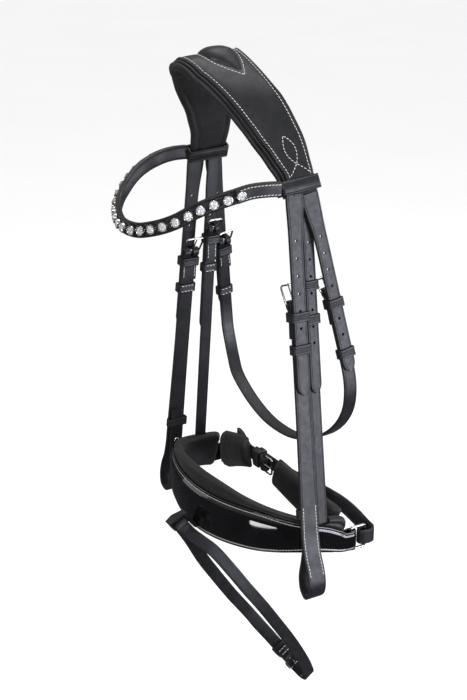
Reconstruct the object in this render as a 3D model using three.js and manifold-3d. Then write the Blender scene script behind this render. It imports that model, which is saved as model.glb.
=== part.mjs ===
// Snaffle bridle with padded headpiece, crystal browband, patent crank noseband and flash strap.
// Millimetres, +Z up. The horse faces -Y and its left side is +X. The origin is the underside of
// the headpiece on the poll. Every strap is a leather section swept along its route.
import * as THREE from "three";
import { mergeVertices } from "three/addons/utils/BufferGeometryUtils.js";
import Module from "manifold-3d";

const wasm = await Module();
wasm.setup();

// ---- driving dimensions ------------------------------------------------------------------
const LEATHER = 2.4; // thickness of one strap
const GAP = 0.3; // clearance between neighbouring pieces
const PLY = LEATHER + GAP; // pitch of stacked straps
const HEAD_LEATHER = 2.8; // thickness of the headpiece's top leather
const HEAD_GAP = 0.7; // clearance on the headpiece, whose surfaces twist
const HEAD_PAD = 7; // padding under the headpiece at the poll
const BAR = 1.8; // buckle wire
const FOLD = BAR / 2 + 0.6 + LEATHER / 2; // middle of the leather folded round a buckle bar
const BUCKLE_TILT = 0.45; // the free end of an inside buckle leans towards the head, in radians
const HOLE_R = 1.4; // punched holes
const KEEPER_WALL = 1.3;
const KEEPER_HEIGHT = 8;

// Straps on each side: where the billet leaves the headpiece, where its line ends, and its sizes.
// `bar`, `upper`, `lower` and `tip` are distances down that line.
const CHEEK = {
  top: [77.5, 28, -94], bottom: [127, 23.5, -431], billet: 13, strap: 14.8,
  hole: 34, pitch: 14.3, holes: 6, bar: 86, upper: 92, lower: 119, tip: 162, back: 114,
};
const HANGER = {
  top: [71.9, 43.4, -94], bottom: [105.5, 45.5, -377], billet: 11, strap: 11.2,
  hole: 39, pitch: 14, holes: 7, bar: 64, upper: 70.5, lower: 99, tip: 167, back: 95,
  start: 3,
};
const THROAT = {
  top: [75.2, 47.7, -98], bottom: [99, 70.5, -232], billet: 12.2, strap: 12.4,
  hole: 31, pitch: 14.1, holes: 7, bar: 78, upper: 84.5, lower: 128, tip: 149, back: 106,
  start: 3,
};

// The jaw strap's buckle behind the jaw, and the flash strap's buckle (given on the left, built on
// the right).
const JAW = {
  top: [20, 57, -361], bottom: [-30, 57, -361], out: [0, 1, 0], strap: 13, tilt: 0,
  bar: 16, lower: 25, back: 36,
};
const FLASH = {
  top: [9.5, 102.1, -603.2], bottom: [25, 49.6, -527.7], strap: 11.6, tilt: 0,
  bar: 20, upper: 30, tip: 92, back: 42,
};

const FINISH = {
  leather: { color: 0x1b1b1f, roughness: 0.45, metalness: 0 },
  padding: { color: 0x161617, roughness: 0.6, metalness: 0 },
  patent: { color: 0x050506, roughness: 0.08, metalness: 0 },
  metal: { color: 0xd9d6d2, roughness: 0.15, metalness: 1 },
  crystal: { color: 0xeef2f6, roughness: 0.05, metalness: 0.1 },
};

// ---- small helpers -----------------------------------------------------------------------
const V = (x, y, z) => new THREE.Vector3(x, y, z);
const mirrorPoint = ([x, ...rest]) => [-x, ...rest];
/** A route given from the middle outwards on the left, made whole from left to right. */
const bothSides = (half) => [...half.slice().reverse(), ...half.slice(1).map(mirrorPoint)];
/** The same for plain numbers, such as widths. */
const bothEqual = (half) => [...half.slice().reverse(), ...half.slice(1)];

/** Value at t along a list that has one entry per route point (or one value for all). */
function along(values, t) {
  if (!Array.isArray(values)) return values;
  const x = t * (values.length - 1);
  const i = Math.min(Math.floor(x), values.length - 2);
  return values[i] + (values[i + 1] - values[i]) * (x - i);
}

function closedGeometry(positions, index) {
  const geometry = new THREE.BufferGeometry();
  geometry.setAttribute("position", new THREE.Float32BufferAttribute(positions, 3));
  geometry.setIndex(index);
  return outward(geometry);
}

/** Turns a closed mesh's faces outwards if its volume comes out negative. */
function outward(geometry) {
  const p = geometry.attributes.position;
  const index = geometry.index.array;
  const [a, b, c] = [V(), V(), V()];
  let volume = 0;
  for (let i = 0; i < index.length; i += 3) {
    a.fromBufferAttribute(p, index[i]);
    b.fromBufferAttribute(p, index[i + 1]);
    c.fromBufferAttribute(p, index[i + 2]);
    volume += a.dot(b.cross(c));
  }
  if (volume > 0) return geometry;
  const flipped = [];
  for (let i = 0; i < index.length; i += 3) flipped.push(index[i], index[i + 2], index[i + 1]);
  geometry.setIndex(flipped);
  return geometry;
}

/**
 * A leather band: a section swept along a smooth route of [x, y, z] points.
 * `wide` is the direction of its width, `profile` rows are [across -1..1, outer, inner], in
 * units of `thick`, measured along the normal wide x tangent.
 */
function band({ route, wide, width, thick = LEATHER, profile, rise = 0, offset = 0, per = 2 }) {
  const rows = profile ?? [[-1, 0.5, -0.5], [1, 0.5, -0.5]];
  const curve = new THREE.CatmullRomCurve3(route.map((p) => V(...p)), false, "centripetal");
  const steps = (route.length - 1) * per;
  const side = Array.isArray(wide[0]) ? wide : null;
  const ring = 2 * rows.length;
  const positions = [];
  const index = [];
  for (let s = 0; s <= steps; s++) {
    const t = s / steps;
    const centre = curve.getPoint(t);
    const tangent = curve.getTangent(t);
    const w = side
      ? V(...[0, 1, 2].map((k) => along(side.map((d) => d[k]), t)))
      : V(...wide);
    const normal = w.clone().cross(tangent).normalize();
    w.crossVectors(tangent, normal).normalize();
    const half = along(width, t) / 2;
    const depth = along(thick, t);
    const lift = along(rise, t);
    const at = (across, out) => centre.clone()
      .addScaledVector(w, across * half + lift).addScaledVector(normal, out * depth + offset);
    const outer = rows.map(([across, hi]) => at(across, hi));
    const inner = rows.map(([across, , lo]) => at(across, lo)).reverse();
    for (const p of [...outer, ...inner]) positions.push(p.x, p.y, p.z);
  }
  for (let s = 0; s < steps; s++) {
    for (let k = 0; k < ring; k++) {
      const [a, b] = [s * ring + k, s * ring + ((k + 1) % ring)];
      index.push(a, b, b + ring, a, b + ring, a + ring);
    }
  }
  const last = steps * ring;
  for (let k = 0; k < rows.length - 1; k++) {
    const [a, b, c, d] = [k, k + 1, ring - 2 - k, ring - 1 - k];
    index.push(a, c, b, a, d, c, last + a, last + b, last + c, last + a, last + c, last + d);
  }
  return closedGeometry(positions, index);
}

/** Keeps only merged positions, so that a stock geometry becomes one closed mesh. */
function bare(geometry) {
  geometry.deleteAttribute("normal");
  geometry.deleteAttribute("uv");
  return outward(mergeVertices(geometry, 1e-4));
}

const solid = (geometry) => new wasm.Manifold(new wasm.Mesh({
  numProp: 3,
  vertProperties: new Float32Array(geometry.attributes.position.array),
  triVerts: new Uint32Array(geometry.index.array),
}));

function fromSolid(manifold) {
  const mesh = manifold.getMesh();
  return closedGeometry(mesh.vertProperties, Array.from(mesh.triVerts));
}

const cut = (geometry, ...tools) =>
  fromSolid(tools.reduce((body, tool) => body.subtract(solid(tool)), solid(geometry)));
const join = (...geometries) => fromSolid(geometries.map(solid).reduce((a, b) => a.add(b)));

const block = (x0, x1, y0, y1, z0, z1) => bare(new THREE.BoxGeometry(x1 - x0, y1 - y0, z1 - z0)
  .translate((x0 + x1) / 2, (y0 + y1) / 2, (z0 + z1) / 2));

/** Rectangle outline with its corners cut, centred on (u, v). */
function plate(u, v, halfU, halfV, corner) {
  const outline = [[1, 1], [-1, 1], [-1, -1], [1, -1]].flatMap(([a, b], i) => {
    const [p, q] = [[a * (halfU - corner), b * halfV], [a * halfU, b * (halfV - corner)]];
    return i % 2 ? [p, q] : [q, p];
  });
  return outline.map(([a, b]) => new THREE.Vector2(u + a, v + b));
}

/** Flat piece from an outline and holes, `depth` thick along the third axis, about its middle. */
function slab(outline, holes, depth) {
  const shape = new THREE.Shape(outline);
  shape.holes = holes.map((hole) => new THREE.Path(hole));
  return bare(new THREE.ExtrudeGeometry(shape, { depth, bevelEnabled: false })
    .translate(0, 0, -depth / 2));
}

/** Turns a slab drawn in (y, z) so that its thickness lies along x. */
const facingX = (geometry) => geometry.applyMatrix4(
  new THREE.Matrix4().makeBasis(V(0, 1, 0), V(0, 0, 1), V(1, 0, 0)));

function circle(u, v, r, count) {
  return Array.from({ length: count }, (_, i) => {
    const angle = (i / count) * 2 * Math.PI;
    return new THREE.Vector2(u + r * Math.cos(angle), v + r * Math.sin(angle));
  });
}

// ---- scene graph -------------------------------------------------------------------------
const bridle = new THREE.Group();

function addNode(name, geometry, finish, parent = bridle) {
  const mesh = new THREE.Mesh(geometry, new THREE.MeshStandardMaterial(FINISH[finish]));
  mesh.name = name;
  parent.add(mesh);
}

function mirrored(geometry) {
  const copy = geometry.clone();
  copy.scale(-1, 1, 1);
  return outward(copy);
}

/** Frame of a buckled strap: origin at its top, z up the strap and x towards its outer side. */
function strapMatrix({ top, bottom, out = [1, 0, 0] }) {
  const z = V(...top).sub(V(...bottom)).normalize();
  const x = V(...out).addScaledVector(z, -z.dot(V(...out))).normalize();
  return new THREE.Matrix4().makeBasis(x, z.clone().cross(x), z).setPosition(...top);
}

/** Group at a side strap's frame, on the left or mirrored on the right. */
function strapGroup(line, right) {
  const group = new THREE.Group();
  strapMatrix(line).decompose(group.position, group.quaternion, group.scale);
  if (right) {
    group.position.x *= -1;
    group.quaternion.y *= -1;
    group.quaternion.z *= -1;
  }
  bridle.add(group);
  return group;
}

/** Adds a left piece and its mirror image, both in the frame of `line` (or in the main frame). */
function addPair(name, geometry, material, line) {
  addNode(`${name}_left`, geometry, material, line ? line.left : bridle);
  addNode(`${name}_right`, mirrored(geometry), material, line ? line.right : bridle);
}
for (const line of [CHEEK, HANGER, THROAT, JAW, FLASH]) {
  line.left = strapGroup(line, false);
  line.right = strapGroup(line, true);
}

// ---- pieces that repeat on the side straps -------------------------------------------------
/** Pointed strap end with a row of punched holes, lying outermost. */
function billet({ billet: width, hole, pitch, holes, tip, start = 0 }) {
  const half = width / 2;
  const shoulder = -tip + 9;
  const outline = [[-half, -start], [-half, shoulder], [-half * 0.72, -tip + 3], [-1.5, -tip],
    [1.5, -tip], [half * 0.72, -tip + 3], [half, shoulder], [half, -start]];
  const punched = Array.from({ length: holes }, (_, i) => circle(0, -hole - i * pitch, HOLE_R, 6));
  return facingX(slab(outline.map(([y, z]) => new THREE.Vector2(y, z)), punched, LEATHER));
}

/** Inside buckle: a rectangular frame whose heel bar lies in the folded strap end. */
function buckleFrame({ strap }, height) {
  const half = strap / 2 + 0.5;
  const outer = plate(0, (height - BAR) / 2, half + 1.4, height / 2, 2.2);
  const window = plate(0, (height - BAR) / 2, half, height / 2 - BAR, 0.3);
  return facingX(slab(outer, [window], BAR));
}

/** Tongue: an eye round the heel bar and a shank that rests on the free bar. */
function tongue(height) {
  const eye = BAR / 2 + 0.7;
  const rim = eye + 1.1;
  const shank = height + 0.4;
  const outline = [[-BAR / 2 - GAP, shank], [-BAR / 2 - GAP - 1.3, shank], [-rim, 0],
    [-rim * 0.7, -rim * 0.7], [0, -rim], [rim * 0.7, -rim * 0.7], [rim, 0],
    [rim * 0.6, rim * 0.8], [-BAR / 2 - GAP, rim * 1.1]];
  const body = slab(outline.map(([x, z]) => new THREE.Vector2(x, z)), [circle(0, 0, eye, 8)], 2);
  return body.rotateX(Math.PI / 2);
}

/** Leans a buckle piece over its heel bar and moves it to its place on the strap. */
const atBar = (geometry, { bar, tilt = BUCKLE_TILT }) => geometry.rotateY(-tilt)
  .translate(-PLY - FOLD, 0, -bar);

/** Keeper loop round a stack of straps between x = inner and x = outer. */
function keeper(inner, outer, half, height = KEEPER_HEIGHT, wall = KEEPER_WALL) {
  const [mid, reach] = [(inner + outer) / 2, (outer - inner) / 2 + GAP];
  const shell = plate(mid, 0, reach + wall, half + GAP + wall, 1);
  return slab(shell, [plate(mid, 0, reach, half + GAP, 0.2)], height);
}

const STACK = { two: [-PLY - LEATHER / 2, LEATHER / 2], three: [-2 * PLY - LEATHER / 2, LEATHER / 2] };
const keeperAt = (line, stack, down) =>
  keeper(...stack, line.strap / 2).translate(0, 0, -down - KEEPER_HEIGHT / 2);

/** Path of a strap end folded round the buckle bar, from the inner ply over to the outer ply. */
function foldPath({ bar, back }) {
  const centre = -PLY - FOLD;
  const path = [[-2 * PLY, -back], [-2 * PLY, -bar - 5.5], [centre - FOLD + 0.4, -bar - 2.4]];
  for (let i = 0; i <= 6; i++) {
    const angle = Math.PI - (i * Math.PI) / 6;
    path.push([centre + FOLD * Math.cos(angle), -bar + FOLD * Math.sin(angle)]);
  }
  return path.map(([x, z]) => [x, 0, z]);
}

/** Slot in the fold that the tongue's eye and shank pass through. */
const crewSlot = ({ bar }) => block(-14, 0, -1.5, 1.5, -bar - 3.6, -bar + 9);

// ---- headpiece -----------------------------------------------------------------------------
// [x, y, z, width, lean of the width direction along x and along z, padding], from the poll down.
const HEAD_TOP = HEAD_PAD + HEAD_GAP + HEAD_LEATHER / 2;
const HEAD = bothSides([
  [0, -4, HEAD_TOP, 61, 0, 0, HEAD_PAD],
  [6.5, -2.6, HEAD_TOP - 1.3, 60.8, 0, 0, 6.8],
  [13, 1, 4, 60, 0, 0, 6.5],
  [24, 6, -4, 56, 0.02, 0, 6],
  [33.5, 11, -13, 52.5, 0.06, -0.02, 5.5],
  [41, 16, -22.5, 49, 0.12, -0.03, 5],
  [47, 21.5, -33, 46.5, 0.16, -0.04, 5],
  [52.5, 26, -43.5, 44.5, 0.17, -0.05, 5],
  [58, 30.5, -54, 42, 0.16, -0.06, 5],
  [63.5, 33.5, -64.5, 39, 0.13, -0.08, 5],
  [69.4, 35.8, -75, 35.5, 0.05, -0.1, 4.6],
  [73.2, 36.6, -83.8, 34, 0, -0.1, 3.6],
  [76.8, 37.3, -92.2, 33.4, 0, -0.1, 3.4],
]);
const headRoute = HEAD.map((p) => p.slice(0, 3));
const headWidth = HEAD.map((p) => p[3]);
const headWide = HEAD.map((p) => [Math.sign(p[0]) * p[4] || 0, 1, p[5]]);
const headPadding = HEAD.map((p) => p[6]);

function headpiece() {
  addNode("headpiece_leather", band({
    route: headRoute, wide: headWide, width: headWidth.map((w) => w - 4), thick: HEAD_LEATHER, per: 3,
    profile: [[-1, 0.3, -0.5], [0, 0.5, -0.5], [1, 0.3, -0.5]],
  }), "leather");

  addNode("headpiece_padding", band({
    route: headRoute, wide: headWide, width: headWidth, thick: headPadding, per: 3,
    offset: -HEAD_LEATHER / 2 - HEAD_GAP,
    profile: [[-1, -0.15, -0.6], [-0.93, 0, -0.9], [0, 0, -1], [0.93, 0, -0.9], [1, -0.15, -0.6]],
  }), "padding");

  const middle = (headRoute.length - 1) / 2;
  addNode("poll_pad", band({
    route: headRoute.slice(middle - 3, middle + 4), wide: [0, 1, 0], rise: 8, per: 2,
    width: [6, 23, 30, 31, 30, 23, 6], offset: HEAD_LEATHER / 2 + HEAD_GAP + 0.4, thick: 6,
    profile: [[-1, 0.2, 0], [-0.6, 0.75, 0], [0, 1, 0], [0.6, 0.75, 0], [1, 0.2, 0]],
  }), "leather");
}
headpiece();

// ---- browband with its crystal chain ---------------------------------------------------------
const BROW_HEIGHT = 12.5;
const BROW_THICK = 5;
const CRYSTALS_EACH_SIDE = 10;
const CRYSTAL_PITCH = 10.7;
const BROW = bothSides([
  [0, -80, -120], [14, -77.5, -119.5], [26.7, -73.4, -116.2], [37.6, -67.4, -112],
  [46.3, -59.8, -106.8], [52.6, -50.8, -100.6], [58.6, -41.2, -95.3], [63.7, -30.8, -91.1],
  [67.3, -19.5, -87.9], [69.3, -7.5, -85.4], [71.9, 4.8, -84.8], [73.8, 17.6, -85.5],
]);

/** Loop of the browband's own leather, turned back round the end of the headpiece. */
function browLoop() {
  const [inner, outer] = [-HEAD_LEATHER / 2 - HEAD_GAP - 4.8, HEAD_LEATHER / 2];
  const loop = keeper(inner, outer, 17.2, 11.5, 1.5);
  const up = V(-3.6, -0.7, 8.4).normalize();
  const out = V(0, 1, -0.1).cross(up).normalize();
  const basis = new THREE.Matrix4().makeBasis(out, up.clone().cross(out), up);
  return loop.applyMatrix4(basis.setPosition(73.7, 36.7, -85));
}

function browband() {
  const strip = band({ route: BROW, wide: [0, 0, 1], width: BROW_HEIGHT, thick: BROW_THICK });
  const loop = browLoop();
  const tab = band({
    route: [[73.4, 15, -85.5], [74.6, 19.2, -85.5]], wide: [0, 0, 1], width: 10, thick: 2,
  });
  addNode("browband", join(strip, loop, tab, mirrored(loop), mirrored(tab)), "leather");

  const curve = new THREE.CatmullRomCurve3(BROW.map((p) => V(...p)), false, "centripetal");
  const length = curve.getLength();
  const cups = [];
  for (let i = -CRYSTALS_EACH_SIDE; i <= CRYSTALS_EACH_SIDE; i++) {
    const at = 0.5 + (i * CRYSTAL_PITCH) / length;
    const tangent = curve.getTangentAt(at);
    const out = V(0, 0, 1).cross(tangent).normalize();
    const up = tangent.clone().cross(out);
    const seat = curve.getPointAt(at).addScaledVector(out, BROW_THICK / 2 + GAP);
    const stone = bare(new THREE.CylinderGeometry(2.7, 4.3, 3.6, 8)).translate(0, 1.8, 0);
    const basis = new THREE.Matrix4().makeBasis(tangent, out, up);
    cups.push(outward(stone.applyMatrix4(basis.setPosition(seat))));
  }
  const ends = BROW.slice(2, -2);
  const chain = band({
    route: ends, wide: [0, 0, 1], width: 4, thick: 1.2, offset: BROW_THICK / 2 + GAP + 0.7,
  });
  addNode("crystal_chain", join(chain, ...cups), "crystal");
}
browband();

// ---- buckles, billets and keepers shared by the three straps of each side ---------------------
const BUCKLE_HEIGHT = { cheek: 18.5, hanger: 12.5, throat: 13.5 };

function sideHardware(name, line, height) {
  addPair(`${name}_billet`, billet(line), "leather", line);
  addPair(`${name}_buckle`, atBar(buckleFrame(line, height), line), "metal", line);
  addPair(`${name}_tongue`, atBar(tongue(height), line), "metal", line);
  addPair(`${name}_upper_keeper`, keeperAt(line, STACK.three, line.upper), "leather", line);
  addPair(`${name}_lower_keeper`, keeperAt(line, STACK.two, line.lower), "leather", line);
}
sideHardware("cheek", CHEEK, BUCKLE_HEIGHT.cheek);
sideHardware("hanger", HANGER, BUCKLE_HEIGHT.hanger);
sideHardware("throat", THROAT, BUCKLE_HEIGHT.throat);

// ---- cheekpieces with their bit loops -----------------------------------------------------------
const STUD_DOWN = 284;
const BIT_KEEPER_DOWN = 264;
function cheekpieces() {
  const loop = [
    [-PLY, -180], [-PLY, -270], [-PLY, -286], [-1, -301], [3, -315], [3.6, -328], [0, -336.5],
    [-6, -339.6], [-11, -334], [-12, -322], [-9.5, -308], [-6.5, -297], [-5.5, -286],
    [-2 * PLY, -270], [-2 * PLY, -250],
  ].map(([x, z]) => [x, 0, z]);
  const route = [...foldPath(CHEEK), ...loop];
  const width = route.map(([x, , z], i) => {
    if (i < route.length - loop.length) return CHEEK.strap;
    if (z > -250 || x > -4) return CHEEK.strap + 2.6 * Math.min(1, (-z - 180) / 100);
    return i > route.length - 6 ? 12.4 : 15;
  });
  const strap = band({ route, wide: [0, -1, 0], width, per: 1 });
  const slit = block(-8, -4.05, -1.9, 1.9, -STUD_DOWN - 8, -STUD_DOWN + 8);
  addPair("cheek_strap", cut(strap, crewSlot(CHEEK), slit), "leather", CHEEK);

  const stud = new THREE.LatheGeometry([[0, -4.2], [1.5, -4.2], [1.5, -7], [3.6, -7],
    [3, -8.2], [0, -8.8]].map(([r, x]) => new THREE.Vector2(r, x)), 10);
  addPair("cheek_stud", bare(stud.rotateZ(-Math.PI / 2).translate(0, 0, -STUD_DOWN)), "metal", CHEEK);

  const stack = [-2 * PLY - LEATHER / 2, -PLY + LEATHER / 2];
  addPair("cheek_bit_keeper", keeper(...stack, 17.2 / 2).translate(0, 0, -BIT_KEEPER_DOWN), "leather",
    CHEEK);
}
cheekpieces();

// ---- noseband hangers and throatlatch ------------------------------------------------------------
const inFrame = (geometry, line) => geometry.applyMatrix4(strapMatrix(line));
const routeInFrame = (points, line) =>
  points.map((p) => V(...p).applyMatrix4(strapMatrix(line)).toArray());

const HANGER_LENGTH = 283;
function hangers() {
  const route = [...foldPath(HANGER), [-PLY, 0, -90], [-PLY, 0, -180], [-PLY, 0, -HANGER_LENGTH]];
  const strap = band({ route, wide: [0, -1, 0], width: HANGER.strap, per: 1 });
  addPair("hanger_strap", cut(strap, crewSlot(HANGER)), "leather", HANGER);
}
hangers();

function throatlatch() {
  const hang = [
    [0, 72, -333], [20, 72, -331.5], [40, 72, -326], [61, 72, -316], [78.5, 72.5, -304],
    [88.5, 74.5, -292], [95, 75.2, -279], [98.2, 74.5, -266], [98.7, 73.6, -254], [97.9, 72.2, -243],
  ];
  const ends = routeInFrame([[-PLY, 0, -134], [-PLY, 0, -100], ...foldPath(THROAT).reverse()], THROAT);
  const across = V(0, 1, 0).applyMatrix4(strapMatrix(THROAT)).sub(V(...THROAT.top)).toArray();
  const wide = [...hang.map(() => [0, 1, 0]), ...ends.map(() => across)];
  const strap = band({
    route: bothSides([...hang, ...ends]), wide: bothSides(wide), width: THROAT.strap, per: 1,
  });
  const slot = inFrame(crewSlot(THROAT), THROAT);
  addNode("throatlatch_strap", cut(strap, slot, mirrored(slot)), "leather");
}
throatlatch();

// ---- noseband ------------------------------------------------------------------------------------
const RING_WIRE = 2.6;
const RING = { x: 104.9, front: 75, back: 89.5, fold: 87, z: -398, height: 18.4 };
const RING_FOLD = RING_WIRE / 2 + 1 + LEATHER / 2;
// [x, y, z of the middle, height of the patent facing, top and bottom of the padding behind it]
const NOSE = [
  [0, -17.8, -387.5, 42, -352, -409], [27.4, -15.7, -386.5, 41, -353, -408.5],
  [52.9, -9.4, -385, 39.5, -357, -406.5], [74.8, 0.6, -384, 37, -361, -404],
  [91.6, 13.6, -384.5, 31, -365, -402], [102.2, 28.7, -386, 25.5, -369, -401.5],
  [105.8, 45, -389.5, 23, -371, -404], [107.2, 57, -394, 20.5, -372.5, -406.5],
  [107.6, 65, -397.5, 18, -374, -409],
];

/** Half circle of leather round one vertical bar of a noseband ring, from the outside in. */
function ringFold(y, turn) {
  return [0, 1, 2, 3, 4, 5, 6].map((i) => {
    const angle = (i * Math.PI) / 6;
    return [RING.x + RING_FOLD * Math.cos(angle), y + turn * RING_FOLD * Math.sin(angle), RING.z];
  });
}

function noseband() {
  const turned = [...ringFold(RING.front, 1), [102.4, 69.5, RING.z]];
  const route = [...NOSE.map((p) => p.slice(0, 3)), ...turned];
  const height = [...NOSE.map((p) => p[3]), ...turned.map(() => 17.5)];
  addNode("noseband_patent", band({
    route: bothSides(route), wide: [0, 0, 1], per: 1, width: bothEqual(height),
  }), "patent");

  const padding = band({
    route: bothSides(NOSE.map(([x, y, , , top, low]) => [x, y, (top + low) / 2])), wide: [0, 0, 1],
    width: bothEqual(NOSE.map(([, , , , top, low]) => top - low)), per: 1, thick: 8,
    offset: -LEATHER / 2 - 0.8,
    profile: [[-1, -0.2, -0.6], [-0.8, 0, -0.95], [0.8, 0, -0.95], [1, -0.2, -0.6]],
  });
  const pocketFloor = -PLY - LEATHER / 2 - 0.5;
  const pocket = inFrame(block(pocketFloor, 3, -6.2, 6.2, -HANGER_LENGTH - 1.5, -250), HANGER);
  addNode("noseband_padding", cut(padding, pocket, mirrored(pocket)), "padding");

  const [mid, half] = [(RING.front + RING.back) / 2, (RING.back - RING.front) / 2];
  const outer = plate(mid, RING.z, half + RING_WIRE / 2, RING.height / 2 + RING_WIRE, 2);
  const inner = plate(mid, RING.z, half - RING_WIRE / 2, RING.height / 2, 0.8);
  addPair("noseband_ring", facingX(slab(outer, [inner], RING_WIRE)).translate(RING.x, 0, 0), "metal");
}
noseband();

// ---- jaw strap with its two pads -------------------------------------------------------------------
const JAW_SIDE = [
  [40, 59, -361.5], [60, 64.5, -363.5], [76, 72.5, -368], [85.5, 80.5, -375], [92, 88, -384],
  [97.5, 94, -392.5],
];
const JAW_END = [
  [103.6, 98.3, RING.z], [107.4, 96.8, RING.z], [109, 92, RING.z], ...ringFold(RING.fold, -1),
  [101.8, 92, RING.z],
];

function jawStrap() {
  const billetRoute = [[-19.5, 57, -361], [0, 57, -361], [22, 57, -361], ...JAW_SIDE, ...JAW_END];
  addNode("jaw_billet", band({
    route: billetRoute, wide: [0, 0, 1], width: JAW.strap, per: 1,
  }), "leather");

  const [outerPly, joint] = [[-PLY, 0, -41], [-PLY + 0.3, 0, -46]];
  const folded = routeInFrame([...foldPath(JAW), outerPly, joint], JAW);
  const strap = band({
    route: [...folded, ...[...JAW_SIDE, ...JAW_END].map(mirrorPoint)], wide: [0, 0, 1],
    width: JAW.strap, per: 1,
  });
  addNode("jaw_strap", cut(strap, inFrame(crewSlot(JAW), JAW)), "leather");
  addNode("jaw_buckle", atBar(buckleFrame(JAW, 12), JAW), "metal", JAW.left);
  addNode("jaw_tongue", atBar(tongue(12), JAW), "metal", JAW.left);
  addNode("jaw_keeper", keeperAt(JAW, STACK.three, JAW.lower), "leather", JAW.left);

  addPair("jaw_pad", band({
    route: [[22, 54.3, -360.5], [40, 56.5, -366], [60, 61, -374], [77, 65.5, -381.5],
      [89.5, 70.5, -387.5]],
    wide: [0, 0, 1], width: [29, 31, 33, 35, 35],
    thick: 8, offset: -LEATHER / 2 - 0.7, per: 2,
    profile: [[-1, -0.1, -0.6], [-0.8, 0, -0.9], [0, 0, -1], [0.8, 0, -0.9], [1, -0.1, -0.6]],
  }), "padding");
}
jawStrap();

// ---- flash strap, hanging from its loop under the front of the noseband -----------------------------
const FLASH_DOWN = V(0, 0.57, -0.82).normalize();
const FLASH_FRAME = new THREE.Matrix4()
  .makeBasis(V(1, 0, 0), V(0, -FLASH_DOWN.z, FLASH_DOWN.y), FLASH_DOWN.clone().negate())
  .setPosition(0, -25, -409);
const FLASH_SHIFT = -3.5; // middle of the strap at the loop, across its width

function flash() {
  const at = (x, z, y) => V(x, y, z).applyMatrix4(FLASH_FRAME).toArray();
  const loop = [[-11.6, 14.4], [-2, 12.4], [4.9, 11.5], [4.9, 0.6], [6.9, 0.6], [6.9, 20],
    [-4, 24.6], [-11.6, 24.2]];
  // The hollow lets the strap turn forwards, about the middle of the hollow.
  const hollow = [[-6.2, -1.6], [0.3, -1.9], [4.8, -4.5], [6.2, -4.2], [6.2, 1.6], [-0.3, 1.9],
    [-4.8, 4.5], [-6.2, 4.2]].map(([y, z]) => new THREE.Vector2(FLASH_SHIFT + y, 18 + z));
  const ring = facingX(slab(loop.map(([y, z]) => new THREE.Vector2(y, z)), [hollow], 8));
  addNode("flash_loop", ring.applyMatrix4(FLASH_FRAME), "leather");

  const buckleEnd = routeInFrame([...foldPath(FLASH), [-PLY, 0, -70], [-PLY, 0, -95]], FLASH)
    .map(mirrorPoint);
  const up = [
    [-22, -112, -7.3], [-17.5, -72, -7.3], [-13, -45, -7], [-9.6, -15, -4.5], [-9.4, 4, -3.5],
    [-8.8, 14.2, -3.5], [-6.2, 17.8, -3.5], [0, 18, -3.5],
  ];
  const down = [
    [6.2, 17.8, -3.5], [8.8, 14.2, -3.5], [9.4, 4, -3], [9.8, -10, -0.5], [11, -28, 2.5], [17, -55, 2.5],
    [22, -80, 1.8], [24, -104, 2], [23.5, -135, 1.6], [20.5, -166, 1.2], [13, -200, 0],
    [6.5, -224, -2], [2.5, -236, -4], [-2, -239.5, -5.2], [-6.5, -238.5, -6.2],
  ];
  const billetEnd = routeInFrame([[0, 0, -2], [0, 0, -12], [0, 0, -50], [0, 0, -FLASH.tip]], FLASH)
    .map(mirrorPoint);
  const strap = band({
    route: [...buckleEnd, ...up.map((p) => at(...p)), ...down.map((p) => at(...p)), ...billetEnd],
    wide: [0, -FLASH_DOWN.z, FLASH_DOWN.y], width: FLASH.strap, per: 1,
  });
  addNode("flash_strap", cut(strap, mirrored(inFrame(crewSlot(FLASH), FLASH))), "leather");
  addNode("flash_buckle", mirrored(atBar(buckleFrame(FLASH, 11), FLASH)), "metal", FLASH.right);
  addNode("flash_tongue", mirrored(atBar(tongue(11), FLASH)), "metal", FLASH.right);
  addNode("flash_keeper", mirrored(keeperAt(FLASH, STACK.three, FLASH.upper)), "leather", FLASH.right);
}
flash();

export default bridle;
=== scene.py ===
"""Snaffle bridle in black leather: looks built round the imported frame. Sizes are in millimetres."""
import math

import bpy
import numpy as np
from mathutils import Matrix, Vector

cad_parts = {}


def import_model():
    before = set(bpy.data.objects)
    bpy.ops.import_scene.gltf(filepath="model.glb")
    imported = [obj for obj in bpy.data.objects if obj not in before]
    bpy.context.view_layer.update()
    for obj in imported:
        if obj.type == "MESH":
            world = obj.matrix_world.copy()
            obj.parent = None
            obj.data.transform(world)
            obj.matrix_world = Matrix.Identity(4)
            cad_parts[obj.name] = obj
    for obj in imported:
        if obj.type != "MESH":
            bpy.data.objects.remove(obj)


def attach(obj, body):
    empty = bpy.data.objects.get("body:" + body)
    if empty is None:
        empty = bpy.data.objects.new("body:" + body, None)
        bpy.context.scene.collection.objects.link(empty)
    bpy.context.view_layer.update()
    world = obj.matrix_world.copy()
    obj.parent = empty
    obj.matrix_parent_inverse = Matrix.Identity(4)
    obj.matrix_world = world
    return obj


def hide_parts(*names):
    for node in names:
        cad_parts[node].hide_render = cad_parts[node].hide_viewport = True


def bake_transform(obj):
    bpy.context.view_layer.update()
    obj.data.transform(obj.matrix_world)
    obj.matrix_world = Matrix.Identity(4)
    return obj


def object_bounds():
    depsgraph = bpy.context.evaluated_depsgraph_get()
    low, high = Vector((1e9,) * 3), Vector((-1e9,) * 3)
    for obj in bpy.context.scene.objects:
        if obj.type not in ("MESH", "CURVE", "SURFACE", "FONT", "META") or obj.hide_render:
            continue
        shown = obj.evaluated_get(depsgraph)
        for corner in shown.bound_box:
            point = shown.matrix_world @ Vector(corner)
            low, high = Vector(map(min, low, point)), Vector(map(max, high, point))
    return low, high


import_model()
cad_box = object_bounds()

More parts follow.
